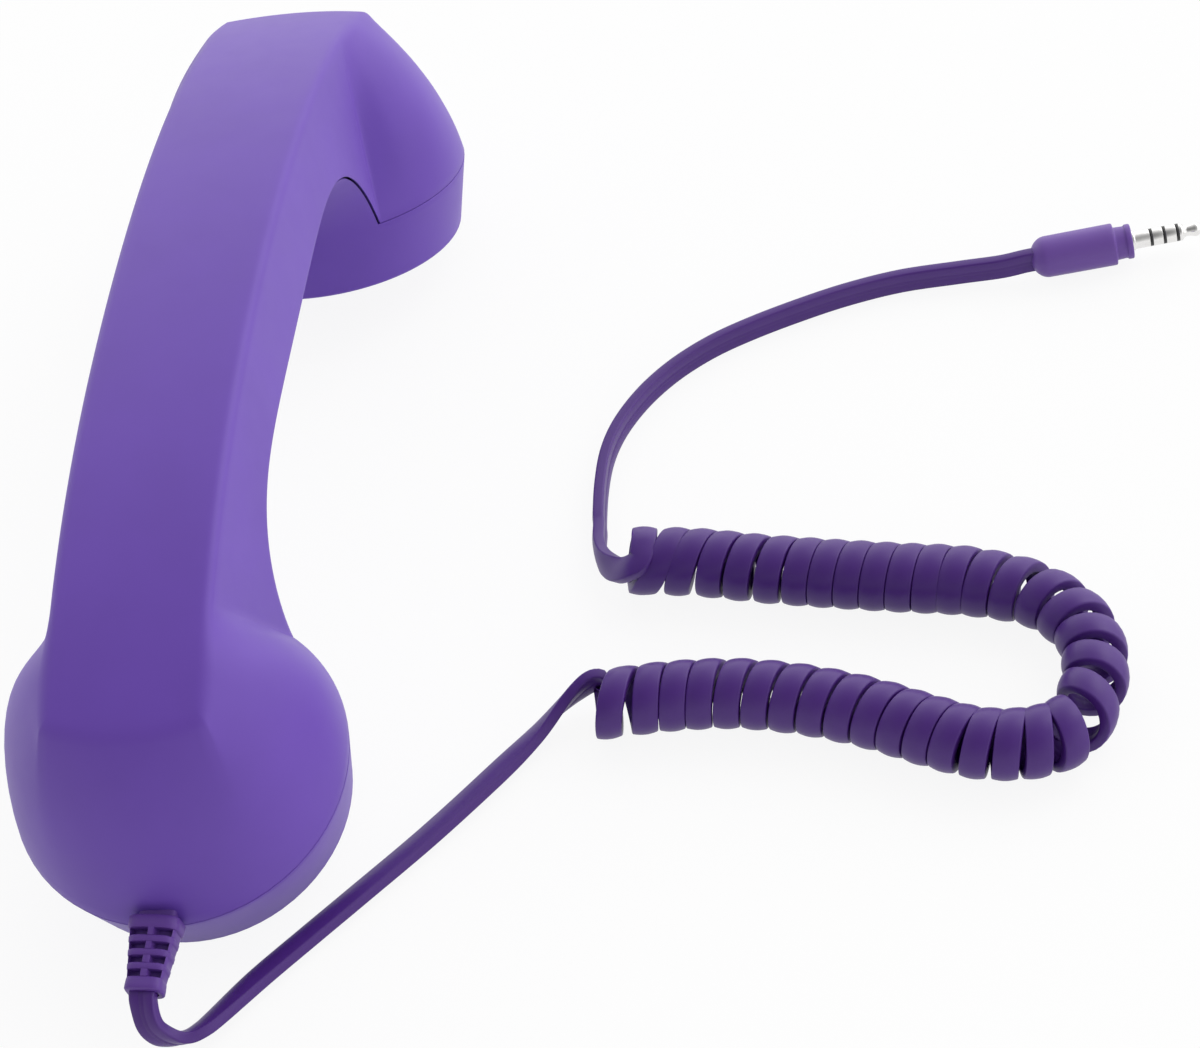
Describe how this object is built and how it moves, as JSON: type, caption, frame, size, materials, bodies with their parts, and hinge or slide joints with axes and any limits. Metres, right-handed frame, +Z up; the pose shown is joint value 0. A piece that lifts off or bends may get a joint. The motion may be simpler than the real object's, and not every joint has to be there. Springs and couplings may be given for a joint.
{
  "type": "telephone handset",
  "caption": "Retro telephone handset with an arched grip, two round heads, a slotted strain relief, a curly cord and an audio plug, lying face down.",
  "frame": {"origin": "on the surface that the handset lies on, midway between the two heads, without the cord", "axes": "+Z up through the grip's back; +Y along the handset to the ear end; -Y to the mouth end, where the cord leaves"},
  "size_m": [0.2103, 0.2387, 0.0701],
  "materials": {
    "soft_touch": "soft-touch matt",
    "cord": "satin",
    "metal": "polished",
    "steel": "plain",
    "black_plastic": "satin",
    "board": "glass fibre board",
    "foam": "matt",
    "cone_paper": "matt film"
  },
  "bodies": {
    "handset": {"back_shell": "soft_touch", "front_shell": "soft_touch", "ear_cap": "soft_touch", "mouth_cap": "soft_touch", "tact_switch": "black_plastic", "circuit_board": "board", "speaker_gasket": "foam", "speaker_frame": "steel", "speaker_cone": "cone_paper", "speaker_magnet": "steel", "microphone_boot": "foam", "microphone_capsule": "metal", "balance_weight": "steel", "weight_screw_1": "steel", "weight_screw_2": "steel", "board_screw_1": "steel", "board_screw_2": "steel", "shell_screw_1": "steel", "shell_screw_2": "steel", "shell_screw_3": "steel", "shell_screw_4": "steel", "speaker_lead": "black_plastic", "microphone_lead": "black_plastic", "cord_tail": "cord", "strain_relief": "cord", "cable_handset_side": "cord", "curly_cord": "cord", "cable_plug_side": "cord", "plug_moulding": "cord", "jack_sleeve": "metal", "jack_ring_2": "metal", "jack_ring_1": "metal", "jack_tip": "metal", "jack_insulator": "black_plastic"},
    "button": {"answer_button": "soft_touch", "switch_plunger": "black_plastic"}
  },
  "joints": [
    {"name": "answer_press", "type": "slide", "parent": "handset", "child": "button", "axis": [0, 0, 1], "range_m": [0, 0.0006], "stiffness_N_per_m": 400, "springref_m": -0.001}
  ]
}
